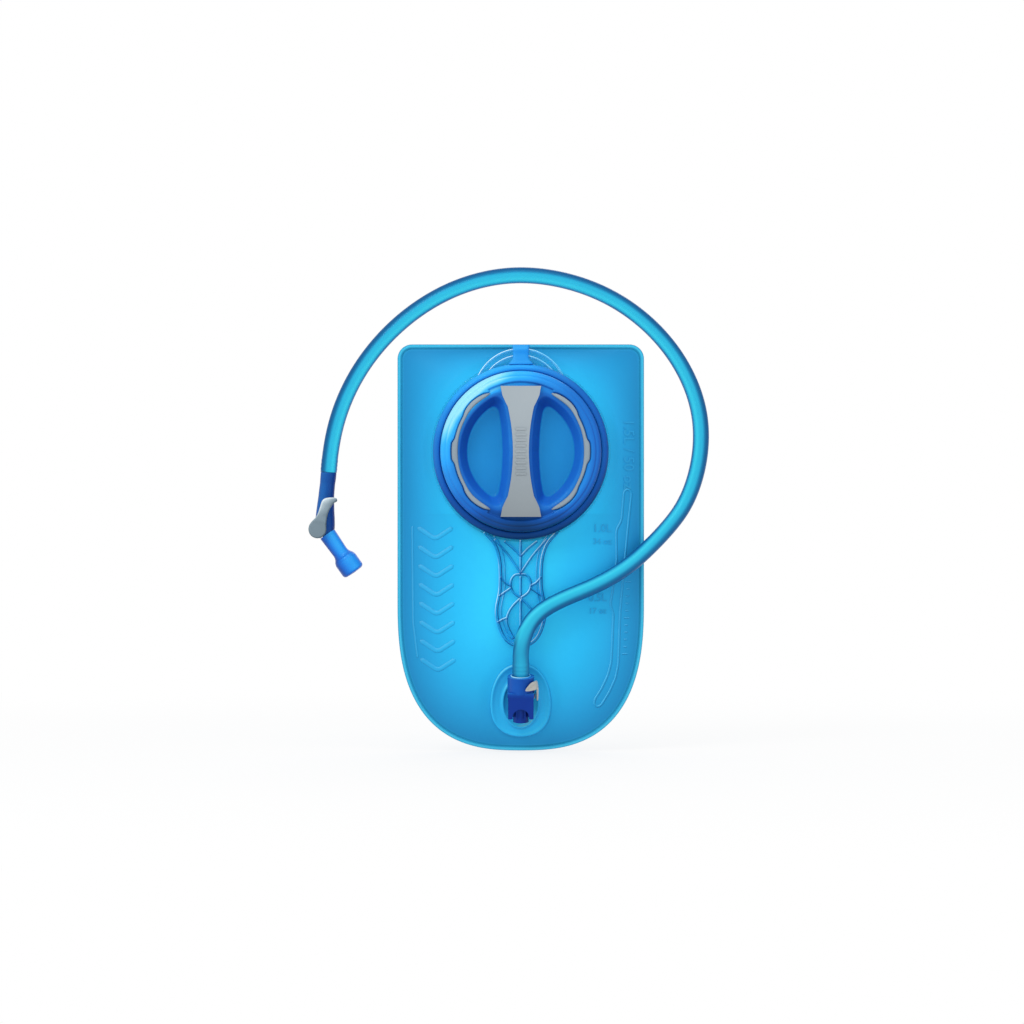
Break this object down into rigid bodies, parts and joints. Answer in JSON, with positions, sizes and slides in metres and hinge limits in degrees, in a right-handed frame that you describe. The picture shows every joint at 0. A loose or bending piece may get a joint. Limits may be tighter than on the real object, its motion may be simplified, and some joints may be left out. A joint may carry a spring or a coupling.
{
  "type": "hydration bladder",
  "caption": "Soft film drinking reservoir with a wide screw cap and hand grip bar, ribbed handle, quick-release outlet, drink tube, shut-off lever and angled bite valve.",
  "frame": {"origin": "where the cap axis meets the flat back of the reservoir", "axes": "+Z from the outlet end up to the cap end, +X to the right of a person facing the cap, -Y out of the cap"},
  "size_m": [0.2605, 0.0502, 0.3149],
  "materials": {
    "film": "clear blue film, smooth gloss",
    "film_back": "clear blue film, smooth gloss",
    "neck": "moulded translucent blue",
    "clear_frame": "clear moulded plastic",
    "outlet_clear": "clear moulded plastic",
    "outlet_dark": "moulded dark blue",
    "cap": "moulded royal blue, fine gloss",
    "tether": "moulded dark blue, satin",
    "grip": "soft-touch overmould, matt",
    "seal": "moulded seal rubber",
    "button": "moulded grey, satin",
    "spring": "drawn spring wire",
    "poppet": "moulded acetal",
    "connector": "moulded grey-blue",
    "tube": "clear flexible tube, blue tint",
    "valve": "moulded dark blue",
    "lever": "moulded grey, satin",
    "bite": "moulded silicone, translucent blue"
  },
  "bodies": {
    "reservoir": {"front_panel": "film", "back_panel": "film_back", "filler_neck": "neck", "handle_frame": "clear_frame", "tether_strap": "tether", "outlet_flange": "outlet_clear", "outlet_socket": "outlet_dark", "release_spring": "spring", "poppet_spring": "spring"},
    "tether": {"tether_ring": "tether"},
    "cap": {"cap_body": "cap", "cap_grip_pad": "grip", "cap_side_grip_right": "grip", "cap_side_grip_left": "grip", "cap_seal": "seal"},
    "button": {"release_button": "button"},
    "poppet": {"poppet": "poppet", "poppet_seal": "seal"},
    "connector": {"connector_orings": "seal"},
    "tube": {"tube_connector": "connector", "drink_tube_lower": "tube", "drink_tube_bend": "tube"},
    "tube_end": {"drink_tube_upper": "tube", "valve_body": "valve"},
    "shutoff": {"shutoff_spool": "poppet", "spool_orings": "seal", "shutoff_lever": "lever"},
    "bite": {"bite_valve": "bite"}
  },
  "joints": [
    {"name": "cap_lift", "type": "slide", "parent": "reservoir", "child": "tether", "axis": [0, -1, 0], "range_m": [0, 0.01501], "deforming": ["tether_strap"]},
    {"name": "cap_turn", "type": "hinge", "parent": "tether", "child": "cap", "pos_m": [0, -0.04, 0], "axis": [0, -1, 0], "range_deg": [0, 450]},
    {"name": "button_press", "type": "slide", "parent": "reservoir", "child": "button", "axis": [-1, 0, 0], "range_m": [0, 0.0012], "stiffness_N_per_m": 500, "deforming": ["release_spring"]},
    {"name": "tube_unplug", "type": "slide", "parent": "reservoir", "child": "connector", "axis": [0, -0.2079, 0.9781], "range_m": [0, 0.02]},
    {"name": "poppet_lift", "type": "slide", "parent": "reservoir", "child": "poppet", "axis": [0, -0.2079, 0.9781], "range_m": [0, 0.00401], "deforming": ["poppet_spring"]},
    {"name": "tube_swivel", "type": "hinge", "parent": "connector", "child": "tube", "pos_m": [0, -0.03396, -0.16329], "axis": [0, -0.2079, 0.9781], "range_deg": [-45, 0]},
    {"name": "tube_flex", "type": "hinge", "parent": "tube", "child": "tube_end", "pos_m": [0.0434, -0.014, 0.1074], "axis": [0, 1, 0], "range_deg": [0, 25], "deforming": ["drink_tube_bend"]},
    {"name": "shutoff_turn", "type": "hinge", "parent": "tube_end", "child": "shutoff", "pos_m": [-0.132, -0.014, -0.0502], "axis": [0, -1, 0], "range_deg": [0, 90]},
    {"name": "bite_turn", "type": "hinge", "parent": "tube_end", "child": "bite", "pos_m": [-0.1266, -0.014, -0.0525], "axis": [0.578, 0, -0.816], "continuous": true}
  ],
  "couplings": [
    {"joint": "cap_lift", "follows": "cap_turn", "m_per_rad": 0.0019099},
    {"joint": "poppet_lift", "follows": "tube_unplug", "ratio": 0.2}
  ]
}
